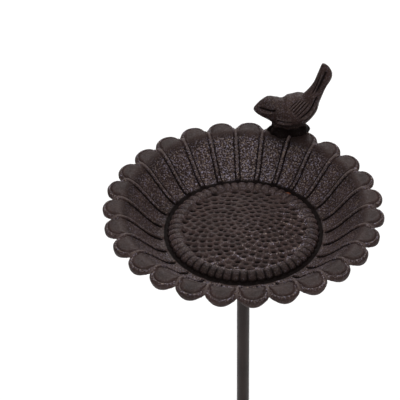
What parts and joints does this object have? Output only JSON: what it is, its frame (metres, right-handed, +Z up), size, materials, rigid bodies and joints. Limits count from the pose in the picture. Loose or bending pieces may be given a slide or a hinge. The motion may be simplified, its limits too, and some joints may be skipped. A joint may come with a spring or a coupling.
{
  "type": "bird feeder on pole",
  "caption": "Cast-iron sunflower feeding dish with a small bird on its rim, screwed on a slim spiked garden pole with a step-on foot.",
  "frame": {"origin": "on the pole's axis at ground level, which is the underside of the foot's arm once it is trodden in", "axes": "+Z up along the pole, -Y the front, +X to the right seen from the front; the foot points to 23.3 degrees from +X towards +Y"},
  "size_m": [0.1995, 0.1997, 1.1017],
  "materials": {
    "cast_iron_brown": "grainy cast surface, dark brown, satin",
    "painted_rod": "smooth dark brown paint, satin",
    "fastener_steel": "zinc plated, dulled"
  },
  "bodies": {
    "stake": {"lower_rod": "painted_rod", "coupling_stud": "fastener_steel", "step_foot": "painted_rod", "foot_weld": "painted_rod"},
    "pole": {"upper_rod": "painted_rod", "dish_lock_nut": "fastener_steel", "dish_washer": "fastener_steel"},
    "dish": {"dish": "cast_iron_brown", "bird": "cast_iron_brown", "bird_screw": "fastener_steel", "bird_washer": "fastener_steel"}
  },
  "joints": [
    {"name": "pole_turn", "type": "hinge", "parent": "stake", "child": "pole", "pos_m": [0, 0, 0.425], "axis": [0, 0, 1], "continuous": true},
    {"name": "dish_turn", "type": "hinge", "parent": "pole", "child": "dish", "pos_m": [0, 0, 0.9], "axis": [0, 0, 1], "continuous": true}
  ]
}
